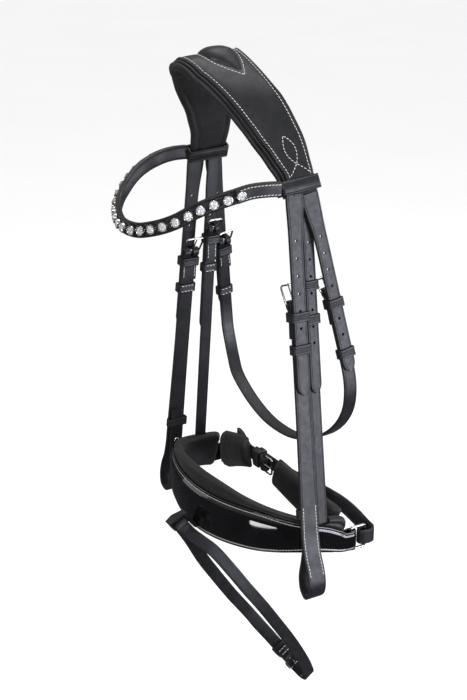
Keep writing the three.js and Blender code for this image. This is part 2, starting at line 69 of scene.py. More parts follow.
# ---- driving dimensions, the same as the frame's ----
MM = 0.001
LEATHER, GAP, PLY = 2.4, 0.3, 2.7
HEAD_LEATHER, HEAD_GAP = 2.8, 0.7
BAR = 1.8
FOLD = BAR / 2 + 0.6 + LEATHER / 2
BUCKLE_TILT = 0.45
HOLE_R = 1.25
CHEEK = dict(top=(77.5, 28, -94), bottom=(127, 23.5, -431), billet=13, strap=14.8, hole=34,
             pitch=14.3, holes=6, bar=86, upper=92, lower=119, tip=162, back=114, height=18.5,
             start=-3, root=16.4, shift=1.0)
HANGER = dict(top=(71.9, 43.4, -94), bottom=(105.5, 45.5, -377), billet=11, strap=11.2, hole=39,
              pitch=14, holes=7, bar=64, upper=70.5, lower=99, tip=167, back=95, height=12.5,
              start=-1, root=11, shift=0.0)
THROAT = dict(top=(75.2, 47.7, -98), bottom=(99, 70.5, -232), billet=12.2, strap=12.4, hole=31,
              pitch=14.1, holes=7, bar=78, upper=84.5, lower=128, tip=149, back=106, height=13.5,
              start=-5.5, root=16.4, shift=-1.6)
JAW = dict(top=(20, 57, -361), bottom=(-30, 57, -361), out=(0, 1, 0), strap=13, bar=16, lower=25,
           back=36, height=12, tilt=0)
FLASH = dict(top=(9.5, 102.1, -603.2), bottom=(25, 49.6, -527.7), strap=11.6, bar=20, upper=30,
             tip=92, back=42, height=11, tilt=0)
STUD_DOWN, BIT_KEEPER_DOWN, HANGER_LENGTH = 284, 264, 283
BIT_KEEPER_WIDTH, KEEPER_HEIGHT = 17.4, 8.0

# ---- geometry helpers: a mesh here is (points in mm, faces) ----
def unit(v):
    return v / np.linalg.norm(v, axis=-1, keepdims=True)


def both_sides(half):
    """A route given from the middle outwards on the left, made whole from left to right."""
    return [tuple(p) for p in half[::-1]] + [(-p[0], *p[1:]) for p in half[1:]]


def both_equal(half):
    return list(half[::-1]) + list(half[1:])


def turns(count):
    """Angles spread evenly round a circle."""
    return np.arange(count) / count * 2 * math.pi


def catmull(rows, step):
    """Smooth rows through the given ones; the first three columns are the place."""
    rows = np.vstack([2 * rows[0] - rows[1], rows, 2 * rows[-1] - rows[-2]])
    gap = np.linalg.norm(np.diff(rows[:, :3], axis=0), axis=1) ** 0.5
    out = []
    for i in range(1, len(rows) - 2):
        r0, r1, r2, r3 = rows[i - 1:i + 3]
        a, b, c = gap[i - 1:i + 2]
        m1 = ((r1 - r0) / a - (r2 - r0) / (a + b) + (r2 - r1) / b) * b
        m2 = ((r2 - r1) / b - (r3 - r1) / (b + c) + (r3 - r2) / c) * b
        count = max(2, math.ceil(b * b / step))
        t = (np.arange(count) / count)[:, None]
        out.append((2 * t**3 - 3 * t**2 + 1) * r1 + (t**3 - 2 * t**2 + t) * m1
                   + (3 * t**2 - 2 * t**3) * r2 + (t**3 - t**2) * m2)
    return np.vstack(out + [rows[-2:-1]])


class Sweep:
    """A smooth route with a width direction, a half width and a thickness at each step."""

    def __init__(self, route, wide, width, thick=LEATHER, offset=0.0, lift=0.0, puff=0.0, extra=0.0,
                 step=2.0):
        count = len(route)
        columns = [np.broadcast_to(np.asarray(v, float), (count,))
                   for v in (width, thick, offset, lift, puff, extra)]
        wide = np.broadcast_to(np.asarray(wide, float), (count, 3))
        rows = catmull(np.column_stack([np.array(route, float), wide, *columns]), step)
        self.centre = rows[:, :3]
        step_lengths = np.linalg.norm(np.diff(self.centre, axis=0), axis=1)
        self.arc = np.concatenate([[0], np.cumsum(step_lengths)])
        self.tangent = unit(np.gradient(self.centre, self.arc, axis=0))
        self.normal = unit(np.cross(rows[:, 3:6], self.tangent))
        self.across = np.cross(self.tangent, self.normal)
        self.half = rows[:, 6] / 2
        self.thick, self.offset, self.lift, self.puff, self.extra = rows[:, 7:12].T

    def round_ends(self, reach, narrow):
        """Pulls width and thickness in over the last `reach` mm, as on a stuffed pad."""
        ease = np.clip(np.minimum(self.arc, self.arc[-1] - self.arc) / reach, 0, 1)
        ease = np.sqrt(np.maximum(1 - (1 - ease) ** 2, 0.004))
        self.thick = self.thick * ease
        self.half = self.half * (1 - narrow + narrow * ease)

    def points(self, section):
        """Places section rows (k, d, e, p, q, c): k half widths + d + e extras across, and
        p thicknesses + q + c puffs outwards."""
        k, d, e, p, q, c = np.array([tuple(r) + (0,) * (6 - len(r)) for r in section], float).T
        narrow = np.minimum(1, self.half / 3.5)[:, None]
        a = k * self.half[:, None] + d * narrow + e * self.extra[:, None] + self.lift[:, None]
        o = (p * self.thick[:, None] + q * narrow + c * self.puff[:, None]) + self.offset[:, None]
        return (self.centre[:, None] + a[..., None] * self.across[:, None]
                + o[..., None] * self.normal[:, None])

    def mesh(self, section):
        return loft(self.points(section))

    def surface(self, u, v, out):
        """Points and normals at u mm along and v mm across the middle, `out` mm proud."""
        def at(values):
            return np.column_stack([np.interp(u, self.arc, values[:, i]) for i in range(3)])
        normal = at(self.normal)
        lift = v + np.interp(u, self.arc, self.lift)
        return at(self.centre) + lift[:, None] * at(self.across) + out[:, None] * normal, normal


def loft(rings, closed=False):
    """Skin over rings of points; open ends are capped."""
    n, m = rings.shape[:2]
    a = np.arange(n if closed else n - 1)[:, None] * m
    j = np.arange(m)
    b = (a + m) % (n * m)
    quads = np.stack([a + j, a + (j + 1) % m, b + (j + 1) % m, b + j], axis=-1).reshape(-1, 4)
    faces = [tuple(int(i) for i in q) for q in quads]
    if not closed:
        faces += [tuple(range(m))[::-1], tuple(range((n - 1) * m, n * m))]
    return rings.reshape(-1, 3), faces


def join(*meshes):
    points, faces, start = [], [], 0
    for p, f in meshes:
        points.append(p)
        faces += [tuple(i + start for i in face) for face in f]
        start += len(p)
    return np.vstack(points), faces


def mirrored(mesh):
    return mesh[0] * (-1, 1, 1), [face[::-1] for face in mesh[1]]


def sides(mesh):
    """A shape for the left and its mirror image for the right."""
    return ("left", mesh), ("right", mirrored(mesh))


def strap_axes(line):
    """Origin and axes of a buckled strap: z up the strap, x towards its outer side."""
    top, bottom = np.array(line["top"], float), np.array(line["bottom"], float)
    out = np.array(line.get("out", (1, 0, 0)), float)
    z = unit(top - bottom)
    x = unit(out - z * (z @ out))
    return top, np.array([x, np.cross(z, x), z])


def in_strap(mesh, line):
    """A mesh drawn in a strap's frame, moved to the bridle's frame."""
    origin, axes = strap_axes(line)
    return mesh[0] @ axes + origin, mesh[1]


def route_in(points, line):
    origin, axes = strap_axes(line)
    return [tuple(p) for p in np.array(points, float) @ axes + origin]


def at_bar(mesh, line):
    """Leans a buckle piece over its heel bar and moves it down to the bar."""
    c, s = math.cos(-line.get("tilt", BUCKLE_TILT)), math.sin(-line.get("tilt", BUCKLE_TILT))
    x, y, z = mesh[0].T
    turned = np.column_stack([c * x + s * z, y, -s * x + c * z])
    return turned + (-PLY - FOLD, 0, -line["bar"]), mesh[1]


def arc_points(u, v, radius, start, end, count):
    angle = np.linspace(start, end, count)
    return [(u + radius * math.cos(t), v + radius * math.sin(t)) for t in angle]


def rounded_rectangle(half_u, half_v, radius, corner=6):
    """Outline round a rectangle, and its outward directions."""
    points, ways = [], []
    for i, (su, sv) in enumerate([(1, 1), (-1, 1), (-1, -1), (1, -1)]):
        for t in np.linspace(i * math.pi / 2, (i + 1) * math.pi / 2, corner):
            way = (math.cos(t), math.sin(t))
            points.append((su * (half_u - radius) + radius * way[0],
                           sv * (half_v - radius) + radius * way[1]))
            ways.append(way)
    return np.array(points), np.array(ways)


def box_mesh(x0, x1, y0, y1, z0, z1):
    rings = [[(x0, y0, z), (x1, y0, z), (x1, y1, z), (x0, y1, z)] for z in (z0, z1)]
    return loft(np.array(rings, float))


def lathe(profile, count=32):
    """Turned solid about the x axis from (radius, x) points; it starts and ends on the axis."""
    angle = turns(count)
    rings = [np.column_stack([np.full(count, x), max(r, 0.02) * np.cos(angle),
                              max(r, 0.02) * np.sin(angle)]) for r, x in profile]
    return loft(np.array(rings))


# ---- sections ----
def one_edge(radius, crease=None, depth=0.22):
    """Rounded edge and crease line on one face, as (distance in from the edge, drop) pairs."""
    points = [(radius - radius * math.cos(t), -radius + radius * math.sin(t))
              for t in np.linspace(0, math.pi / 2, 5)]
    if crease:
        points += [(crease - 0.4, 0), (crease - 0.12, -depth), (crease + 0.12, -depth),
                   (crease + 0.4, 0)]
    return points


def inner_face(edge):
    return [(1, -d, 0, -0.5, -q) for d, q in edge] + [(-1, d, 0, -0.5, -q) for d, q in edge[::-1]]


def strap_section(outside=1.8, inside=None):
    """Strap with burnished round edges and a crease line that far in along each edge."""
    outer = one_edge(0.85, outside)
    top = [(-1, d, 0, 0.5, q) for d, q in outer] + [(0, 0, 0, 0.5, 0)]
    top += [(1, -d, 0, 0.5, q) for d, q in outer[::-1]]
    return top + inner_face(one_edge(0.85, inside))


def circle_section(k, d, p, q, radius):
    angle = turns(12)
    return [(k, d + radius * math.cos(t), 0, p, q + radius * math.sin(t)) for t in -angle]


STRAP = strap_section()
PLAIN = strap_section(None)
BOTH_CREASED = strap_section(inside=1.8)

# ---- stitching ----
STITCH = dict(pitch=2.9, length=2.25, radius=0.27, slant=0.16)


def stitch_form(length, radius):
    """One stitch: a small flattened capsule along x."""
    angle = turns(6)
    rings = [np.column_stack([np.full(6, x * length / 2), r * radius * np.cos(angle),
                              0.75 * r * radius * np.sin(angle)])
             for x, r in ((-1, 0.25), (-0.8, 0.85), (0, 1), (0.8, 0.85), (1, 0.25))]
    return loft(np.array(rings))


def stitches(points, normals, keep=None, pitch=STITCH["pitch"], length=STITCH["length"]):
    """Stitches along a line on a surface, each a little aslant, as in saddle stitching."""
    points, normals = np.asarray(points), np.asarray(normals)
    arc = np.concatenate([[0], np.cumsum(np.linalg.norm(np.diff(points, axis=0), axis=1))])
    count = max(1, int(arc[-1] / pitch))
    at = (np.arange(count) + 0.5) * arc[-1] / count

    def between(values, where):
        return np.column_stack([np.interp(where, arc, values[:, i]) for i in range(3)])
    centre = between(points, at)
    ahead = unit(between(points, at + 0.6) - between(points, at - 0.6))
    normal = between(normals, at)
    normal = unit(normal - ahead * np.sum(normal * ahead, axis=1, keepdims=True))
    side = np.cross(normal, ahead)
    c, s = math.cos(STITCH["slant"]), math.sin(STITCH["slant"])
    ahead, side = c * ahead + s * side, c * side - s * ahead
    if keep is not None:
        chosen = np.array([bool(keep(c)) for c in centre])
        centre, ahead, side, normal = centre[chosen], ahead[chosen], side[chosen], normal[chosen]
    form, faces = stitch_form(length, STITCH["radius"])
    placed = (centre[:, None] + form[:, 0, None] * ahead[:, None] + form[:, 1, None] * side[:, None]
              + form[:, 2, None] * normal[:, None])
    every = [tuple(i + n * len(form) for i in face) for n in range(len(centre)) for face in faces]
    return placed.reshape(-1, 3), every


def edge_rows(sweep, inset, p, q, keep, **how):
    """A stitch row on the outer face of a sweep, that far in from each edge."""
    return [stitches(sweep.points([(k, -k * inset, 0, p, q)])[:, 0], sweep.normal, keep, **how)
            for k in (-1, 1)]


# ---- materials ----
class Nodes:
    """Small helper for a node material with object coordinates."""

    def __init__(self, name):
        self.material = bpy.data.materials.new(name)
        self.material.use_nodes = True
        self.tree = self.material.node_tree
        self.shader = self.tree.nodes["Principled BSDF"]
        self.place = self.tree.nodes.new("ShaderNodeTexCoord").outputs["Object"]

    def add(self, kind, **settings):
        node = self.tree.nodes.new(kind)
        for key, value in settings.items():
            if hasattr(node, key):
                setattr(node, key, value)
            else:
                node.inputs[key.replace("_", " ")].default_value = value
        return node

    def link(self, a, b):
        self.tree.links.new(a, b)

    def noise(self, scale, detail=3.0):
        node = self.add("ShaderNodeTexNoise", Scale=scale, Detail=detail)
        self.link(self.place, node.inputs["Vector"])
        return node.outputs["Fac"]

    def cells(self, scale):
        node = self.add("ShaderNodeTexVoronoi", feature="DISTANCE_TO_EDGE", Scale=scale)
        self.link(self.place, node.inputs["Vector"])
        return node.outputs["Distance"]

    def ranged(self, value, low, high, socket):
        node = self.add("ShaderNodeMapRange", From_Min=0.3, From_Max=0.7, To_Min=low, To_Max=high)
        self.link(value, node.inputs["Value"])
        self.link(node.outputs["Result"], self.shader.inputs[socket])

    def colours(self, value, low, high):
        node = self.add("ShaderNodeValToRGB")
        node.color_ramp.elements[0].position = 0.3
        node.color_ramp.elements[1].position = 0.7
        node.color_ramp.elements[0].color = (*low, 1)
        node.color_ramp.elements[1].color = (*high, 1)
        self.link(value, node.inputs["Fac"])
        self.link(node.outputs["Color"], self.shader.inputs["Base Color"])

    def bumps(self, *layers):
        """Stacked bumps from (height output, strength, depth in metres)."""
        before = None
        for height, strength, depth in layers:
            node = self.add("ShaderNodeBump", Strength=strength, Distance=depth)
            self.link(height, node.inputs["Height"])
            if before is not None:
                self.link(before, node.inputs["Normal"])
            before = node.outputs["Normal"]
        self.link(before, self.shader.inputs["Normal"])

    def set(self, **values):
        for key, value in values.items():
            self.shader.inputs[key.replace("_", " ")].default_value = value


def strap_leather():
    m = Nodes("strap_leather")
    m.colours(m.noise(90), (0.0065, 0.0068, 0.0082), (0.013, 0.0132, 0.0155))
    m.ranged(m.noise(240), 0.34, 0.46, "Roughness")
    m.bumps((m.cells(900), 0.12, 0.0002), (m.noise(2600, 4), 0.18, 0.0001), (m.noise(70), 0.06, 0.002))
    m.set(Specular_IOR_Level=0.5, Sheen_Weight=0.04, Sheen_Roughness=0.4)
    return m.material


def soft_leather():
    m = Nodes("soft_padding_leather")
    m.colours(m.noise(70), (0.006, 0.006, 0.0068), (0.0115, 0.0115, 0.0125))
    m.ranged(m.noise(180), 0.38, 0.54, "Roughness")
    m.bumps((m.cells(620), 0.22, 0.0003), (m.noise(1500, 4), 0.2, 0.00015), (m.noise(55), 0.2, 0.003))
    m.set(Specular_IOR_Level=0.5, Sheen_Weight=0.05, Sheen_Roughness=0.5)
    return m.material


def patent_leather():
    m = Nodes("patent_leather")
    m.colours(m.noise(40), (0.002, 0.002, 0.0022), (0.0042, 0.0042, 0.0046))
    m.ranged(m.noise(120), 0.05, 0.1, "Roughness")
    m.bumps((m.noise(45, 2), 0.12, 0.0025))
    m.set(Coat_Weight=1.0, Coat_Roughness=0.03, Specular_IOR_Level=0.5)
    return m.material


def nickel():
    m = Nodes("polished_nickel")
    m.colours(m.noise(300), (0.66, 0.62, 0.58), (0.78, 0.75, 0.72))
    m.ranged(m.noise(900), 0.07, 0.16, "Roughness")
    m.bumps((m.noise(1800), 0.06, 0.0001), (m.noise(200), 0.08, 0.0004))
    m.set(Metallic=1.0)
    return m.material


def crystal():
    m = Nodes("crystal_stone")
    m.colours(m.noise(500), (0.82, 0.86, 0.92), (1.0, 1.0, 1.0))
    m.ranged(m.noise(700), 0.01, 0.05, "Roughness")
    m.bumps((m.cells(440), 1.0, 0.0016))
    m.set(Metallic=0.55, Specular_IOR_Level=1.0, Coat_Weight=1.0, Coat_Roughness=0.01)
    return m.material


def thread():
    m = Nodes("white_thread")
    m.colours(m.noise(900), (0.55, 0.54, 0.52), (0.8, 0.79, 0.77))
    m.ranged(m.noise(1500), 0.55, 0.75, "Roughness")
    m.bumps((m.noise(4200, 4), 0.4, 0.0001))
    m.set(Sheen_Weight=0.2)
    return m.material


LEATHER_SKIN, SOFT_SKIN, PATENT_SKIN = strap_leather(), soft_leather(), patent_leather()
NICKEL, CRYSTAL, THREAD = nickel(), crystal(), thread()

# ---- pieces ----
def blender_object(name, mesh, material, smooth=35):
    data = bpy.data.meshes.new(name)
    data.from_pydata([tuple(p) for p in mesh[0] * MM], [], mesh[1])
    data.validate()
    data.polygons.foreach_set("use_smooth", [smooth > 0] * len(data.polygons))
    if smooth:
        data.set_sharp_from_angle(angle=math.radians(smooth))
    data.materials.append(material)
    made = bpy.data.objects.new(name, data)
    bpy.context.scene.collection.objects.link(made)
    return made


def cut(mesh, *cutters):
    """Boolean difference, for punched holes and slots."""
    body = blender_object("cut_body", mesh, LEATHER_SKIN, 0)
    tool = blender_object("cut_tool", join(*cutters), LEATHER_SKIN, 0)
    modifier = body.modifiers.new("cut", "BOOLEAN")
    modifier.operation, modifier.solver, modifier.object = "DIFFERENCE", "EXACT", tool
    modifier.use_self = True
    bpy.context.view_layer.update()
    result = body.evaluated_get(bpy.context.evaluated_depsgraph_get()).data
    points = np.array([v.co for v in result.vertices], float).reshape(-1, 3) / MM
    faces = [tuple(f.vertices) for f in result.polygons]
    for used in (tool, body):
        bpy.data.objects.remove(used)
    return points, faces


def piece(name, mesh, material, body, nodes=(), smooth=35):
    made = blender_object(name, mesh, material, smooth)
    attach(made, body)
    if nodes:
        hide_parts(*nodes)
    return made


def form(name, mesh, material, body, slot, smooth=35):
    """The piece that stands for the frame's node of that name."""
    return piece(f"{name}_form", mesh, material, body, [name], smooth)


def pair(name, mesh, material, body, slot, smooth=35):
    """A left piece and its mirror image; `body` may hold {side}."""
    return [form(f"{name}_{side}", shape, material, body.format(side=side), slot, smooth)
            for side, shape in sides(mesh)]


def stitching(name, mesh, body):
    return piece(f"{name}_stitches", mesh, THREAD, body)


def stitching_pair(name, mesh, body):
    for side, shape in sides(mesh):
        stitching(f"{name}_{side}", shape, body.format(side=side))


# ---- pieces that repeat on the straps ----
def hole_cutter(z):
    angle = turns(16)
    ring = np.column_stack([np.zeros(16), HOLE_R * np.cos(angle), z + HOLE_R * np.sin(angle)])
    return loft(np.array([ring + (-6, 0, 0), ring + (6, 0, 0)]))


def billet_mesh(line):
    """Pointed strap end with punched holes; it leaves the headpiece wide and narrows."""
    half, tip, start = line["billet"] / 2, line["tip"], line["start"]
    rows = [(-start, line["root"] / 2, line["shift"]), (-start - 8, line["root"] / 2, line["shift"]),
            (-26, half + 0.3, line["shift"] * 0.25), (-40, half, 0), (-70, half, 0), (-110, half, 0),
            (-tip + 14, half, 0), (-tip + 9, half, 0), (-tip + 5, half * 0.86, 0),
            (-tip + 2, half * 0.5, 0), (-tip + 0.3, 0.8, 0)]
    sweep = Sweep([(0, y, z) for z, _, y in rows], (0, -1, 0), [2 * w for _, w, _ in rows], step=3)
    holes = [hole_cutter(-line["hole"] - i * line["pitch"]) for i in range(line["holes"])]
    return cut(sweep.mesh(STRAP), *holes)


def fold_path(line):
    """Strap end folded round the buckle bar, from the inner ply over to the outer ply."""
    bar, centre = line["bar"], -PLY - FOLD
    path = [(-2 * PLY, -line["back"]), (-2 * PLY, -bar - 5.5), (centre - FOLD + 0.4, -bar - 2.4)]
    path += [(x, z) for x, z in arc_points(centre, -bar, FOLD, math.pi, 0, 7)]
    return [(x, 0, z) for x, z in path]


def tongue_slot(line):
    """Cutter for the slot in the fold through which the tongue comes."""
    bar = line["bar"]
    return box_mesh(-14, 0, -1.5, 1.5, -bar - 3.6, -bar + 9)


def buckle_mesh(line):
    """Frame of round wire with a bowed free bar."""
    half_y, height = line["strap"] / 2 + 1.3, line["height"] - BAR
    outline, ways = rounded_rectangle(half_y, height / 2, 2.2, 7)
    outline[:, 1] += height / 2
    bow = 0.9 * (outline[:, 1] / height) ** 2 * (1 - (outline[:, 0] / half_y) ** 2)
    angle = turns(14)
    rings = [np.column_stack([b + 0.9 * np.sin(angle), y + wy * 0.8 * np.cos(angle),
                              z + wz * 0.88 * np.cos(angle)])
             for (y, z), (wy, wz), b in zip(outline, ways, bow)]
    return loft(np.array(rings), closed=True)


def tongue_mesh(line):
    """Eye round the heel bar and a tapering shank that rests on the free bar."""
    eye, x = BAR / 2 + 0.75, -BAR / 2 - GAP - 0.65
    angle = turns(14)
    rings = []
    for t in turns(24):
        r = eye + 0.45 + 0.45 * np.cos(angle)
        rings.append(np.column_stack([r * math.cos(t), 0.95 * np.sin(angle), r * math.sin(t)]))
    loop = loft(np.array(rings), closed=True)
    top = line["height"] + 0.2
    shank = []
    for z in np.linspace(1.2, top, 12):
        taper = 1 - 0.35 * z / top
        r = 0.62 * taper if z < top - 0.1 else 0.3
        shank.append(np.column_stack([x + r * np.cos(angle), 1.35 * r * np.sin(angle),
                                      np.full(14, z)]))
    return join(loop, loft(np.array(shank)[:, ::-1]))


def keeper_mesh(inner, outer, half, height=KEEPER_HEIGHT, wall=1.3, lines=(-1.5, 0.0, 1.5)):
    """Leather loop round a stack of straps between x = inner and x = outer."""
    mid, reach = (inner + outer) / 2, (outer - inner) / 2 + GAP
    outline, ways = rounded_rectangle(reach, half + GAP, 0.6, 5)
    top = height / 2
    section = [(0, -top + 0.3), (0, top - 0.3), (0.3, top), (wall - 0.5, top), (wall - 0.15, top - 0.15),
               (wall, top - 0.6)]
    for line in lines[::-1]:
        section += [(wall, line + 0.4), (wall - 0.2, line + 0.1), (wall - 0.2, line - 0.1),
                    (wall, line - 0.4)]
    section += [(wall, -top + 0.6), (wall - 0.15, -top + 0.15), (wall - 0.5, -top), (0.3, -top)]
    out, z = np.array(section).T
    rings = [np.column_stack([mid + x + wx * out, y + wy * out, z])
             for (x, y), (wx, wy) in zip(outline, ways)]
    return loft(np.array(rings), closed=True)


# x of the inner and outer face of two straps, and of three, one on the other
STACK_TWO = (-PLY - LEATHER / 2, LEATHER / 2)
STACK_THREE = (-2 * PLY - LEATHER / 2, LEATHER / 2)


def down(mesh, z):
    return mesh[0] - (0, 0, z), mesh[1]


def keeper_at(line, stack, place):
    return down(keeper_mesh(*stack, line["strap"] / 2), place + KEEPER_HEIGHT / 2)


def keeper_stitches(line, stack):
    """Two short stitch rows across the inner face of a sliding keeper."""
    x = stack[0] - GAP - 1.3 - 0.12
    y = np.linspace(-line["strap"] / 2 + 1, line["strap"] / 2 - 1, 12)
    rows = []
    for z in (-2.7, 2.7):
        points = np.column_stack([np.full(12, x), y, np.full(12, z)])
        rows.append(stitches(points, np.tile((-1.0, 0, 0), (12, 1))))
    return join(*rows)


def fold_stitches(line, sweep):
    """Two rows down the turned-back leather, on its inner face."""
    low, high = -line["back"] + 2, -line["bar"] - 8

    def turned(p):
        return low < p[2] < high and p[0] < -PLY - 1
    return join(*edge_rows(sweep, 1.9, 0.5, 0.08, turned))


def side_hardware(name, line, body, keeper_body, tongue_body):
    pair(f"{name}_buckle", in_strap(at_bar(buckle_mesh(line), line), line), NICKEL, body, "metal")
    pair(f"{name}_tongue", in_strap(at_bar(tongue_mesh(line), line), line), NICKEL, tongue_body, "metal")
    pair(f"{name}_upper_keeper", in_strap(keeper_at(line, STACK_THREE, line["upper"]), line),
         LEATHER_SKIN, body, "leather")
    pair(f"{name}_lower_keeper", in_strap(keeper_at(line, STACK_TWO, line["lower"]), line),
         LEATHER_SKIN, keeper_body, "leather")
    rows = down(keeper_stitches(line, STACK_TWO), line["lower"] + KEEPER_HEIGHT / 2)
    stitching_pair(f"{name}_lower_keeper", in_strap(rows, line), keeper_body)


def billets(name, line, body, bends):
    """The billets; where `bends`, each is left unattached to a body, with its placement baked into the
    mesh.
    """
    for side, shape in sides(in_strap(billet_mesh(line), line)):
        made = blender_object(f"{name}_billet_{side}_form", shape, LEATHER_SKIN)
        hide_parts(f"{name}_billet_{side}")
        if bends:
            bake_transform(made)
        else:
            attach(made, body.format(side=side))


side_hardware("cheek", CHEEK, "cheek_{side}", "cheek_keeper_{side}", "cheek_tongue_{side}")
side_hardware("hanger", HANGER, "bridle", "hanger_keeper_{side}", "hanger_tongue_{side}")
side_hardware("throat", THROAT, "throatlatch", "throat_keeper_{side}", "throat_tongue_{side}")
billets("cheek", CHEEK, "cheek_{side}", True)
billets("throat", THROAT, "throatlatch", True)
billets("hanger", HANGER, "bridle", False)

# ---- headpiece ----
# [x, y, z, width, lean of the width direction along x and along z, padding], from the poll down.
HEAD = both_sides([
    (0, -4, 9.1, 61, 0, 0, 7), (6.5, -2.6, 7.8, 60.8, 0, 0, 6.8), (13, 1, 4, 60, 0, 0, 6.5),
    (24, 6, -4, 56, 0.02, 0, 6), (33.5, 11, -13, 52.5, 0.06, -0.02, 5.5),
    (41, 16, -22.5, 49, 0.12, -0.03, 5), (47, 21.5, -33, 46.5, 0.16, -0.04, 5),
    (52.5, 26, -43.5, 44.5, 0.17, -0.05, 5), (58, 30.5, -54, 42, 0.16, -0.06, 5),
    (63.5, 33.5, -64.5, 39, 0.13, -0.08, 5), (69.4, 35.8, -75, 35.5, 0.05, -0.1, 4.6),
    (73.2, 36.6, -83.8, 34, 0, -0.1, 3.6), (76.8, 37.3, -92.2, 33.4, 0, -0.1, 3.4)])
HEAD_ROUTE = [p[:3] for p in HEAD]
HEAD_WIDE = [(float(np.sign(p[0])) * p[4], 1, p[5]) for p in HEAD]
RIM = 3.2  # from the leather's edge to the stitch row
EDGE_ROLL = 6  # how far the padding's front rolls stand out from under the leather


def headpiece_leather():
    """Top leather, crowned between its stitch rows, stitched round the poll and into a leaf at
    each end."""
    sweep = Sweep(HEAD_ROUTE, HEAD_WIDE, [p[3] - 2 - EDGE_ROLL for p in HEAD], HEAD_LEATHER,
                  lift=(EDGE_ROLL - 2) / 2, puff=both_equal([1] * 9 + [0.8, 0.5, 0.2, 0.0]))
    side = [(d, 0.45, q, 0) for d, q in one_edge(1.0)]
    side += [(RIM - 1.6, 0.47, 0.25, 0), (RIM - 0.5, 0.47, 0, 0), (RIM, 0.47, -0.25, 0),
             (RIM + 0.5, 0.47, 0, 0), (RIM + 3, 0.5, 0.1, 0.35), (RIM + 9, 0.5, 0.1, 0.8)]
    outer = [(-1, d, 0, p, q, c) for d, p, q, c in side] + [(0, 0, 0, 0.5, 0.1, 1)]
    outer += [(1, -d, 0, p, q, c) for d, p, q, c in side[::-1]]
    form("headpiece_leather", sweep.mesh(outer + inner_face(one_edge(0.8))), LEATHER_SKIN, "bridle",
         "leather")

    rows = edge_rows(sweep, RIM, 0.47, 0.02, lambda p: p[2] > -79)
    middle = sweep.arc[-1] / 2

    def drawn(u, v, proud=0.12):
        bulge = np.interp(middle + u, sweep.arc, sweep.puff)
        out = HEAD_LEATHER / 2 + proud + bulge * 0.95
        return stitches(*sweep.surface(middle + u, v, out))
    t = np.linspace(0, 1, 40)
    leaf = 33.5
    for way in (-1, 1):
        u = (2 * t - 1) * leaf
        rows.append(drawn(u, 5.5 + way * 16.3 * (1 - np.abs(2 * t - 1) ** 1.9)))
    cross, length = 114.5, 24.0
    for side in (-1, 1):
        for way in (-1, 1):
            rows.append(drawn(side * (cross - length * t), way * 4.9 * np.sin(math.pi * t) ** 0.85))
            rows.append(drawn(side * (cross + 8.5 * t), way * 9.5 * t))
    stitching("headpiece", join(*rows), "bridle")


def headpiece_padding():
    """Soft lining with a roll along each edge, and piping along both edges of the leather."""
    sweep = Sweep(HEAD_ROUTE, HEAD_WIDE, [p[3] for p in HEAD], [p[6] for p in HEAD],
                  offset=-HEAD_LEATHER / 2 - HEAD_GAP)
    edge = [(4.6, 0, 0), (3.4, 0, -0.5), (2.9, 0, -0.2), (1.9, 0, 0.2), (0.8, -0.05, 0),
            (0.1, -0.2, 0), (0, -0.45, 0), (0.5, -0.7, 0), (1.8, -0.9, 0), (3.6, -0.97, 0),
            (5.4, -0.86, 0), (6.2, -0.8, 0), (7.2, -0.88, 0), (11, -0.99, 0)]
    left = [(-1, d, 0, p, q) for d, p, q in edge]
    right = [(1, -d, 0, p, q) for d, p, q in edge[::-1]]
    body = sweep.mesh((left + [(0, 0, 0, -1.0, 0)] + right)[::-1])
    pipe = sweep.mesh(circle_section(-1, EDGE_ROLL - 1.1, 0, 0.4, 1.4))
    rear = sweep.mesh(circle_section(1, -1.4, 0, 0.1, 1.1))
    made = form("headpiece_padding", join(body, pipe, rear), SOFT_SKIN, "bridle", "padding", 60)


def poll_pad():
    middle = (len(HEAD_ROUTE) - 1) // 2
    widths = [3, 21, 29, 30.5, 29, 21, 3]
    sweep = Sweep(HEAD_ROUTE[middle - 3:middle + 4], (0, 1, 0), widths, [0.5, 4, 5.8, 6, 5.8, 4, 0.5],
                  offset=HEAD_LEATHER / 2 + HEAD_GAP - 0.2, lift=8, step=1.5)
    dome = [(k, 0, 0, 0.96 * (1 - abs(k) ** 2.6) ** 0.75, 0.1) for k in np.linspace(-1, 1, 19)]
    flat = [(0.97, 0, 0, 0, -0.2), (-0.97, 0, 0, 0, -0.2)]
    made = form("poll_pad", sweep.mesh(dome + flat), LEATHER_SKIN, "bridle", "leather", 70)


headpiece_leather()
headpiece_padding()
poll_pad()

# ---- browband with its crystal chain ----
BROW_HEIGHT, BROW_THICK = 12.5, 5
CRYSTALS_EACH_SIDE, CRYSTAL_PITCH = 10, 10.7
BROW = both_sides([
    (0, -80, -120), (14, -77.5, -119.5), (26.7, -73.4, -116.2), (37.6, -67.4, -112),
    (46.3, -59.8, -106.8), (52.6, -50.8, -100.6), (58.6, -41.2, -95.3), (63.7, -30.8, -91.1),
    (67.3, -19.5, -87.9), (69.3, -7.5, -85.4), (71.9, 4.8, -84.8), (73.8, 17.6, -85.5)])


def brow_loop():
    """Loop of the browband's own leather round the end of the headpiece."""
    inner, outer = -HEAD_LEATHER / 2 - HEAD_GAP - 4.8, HEAD_LEATHER / 2
    points, faces = keeper_mesh(inner, outer, 17.2, height=11.5, wall=1.5, lines=(-4.1, 4.1))
    up = unit(np.array((-3.6, -0.7, 8.4)))
    out = unit(np.cross((0, 1, -0.1), up))
    axes = np.array([out, np.cross(up, out), up])
    return points @ axes + (73.7, 36.7, -85), faces


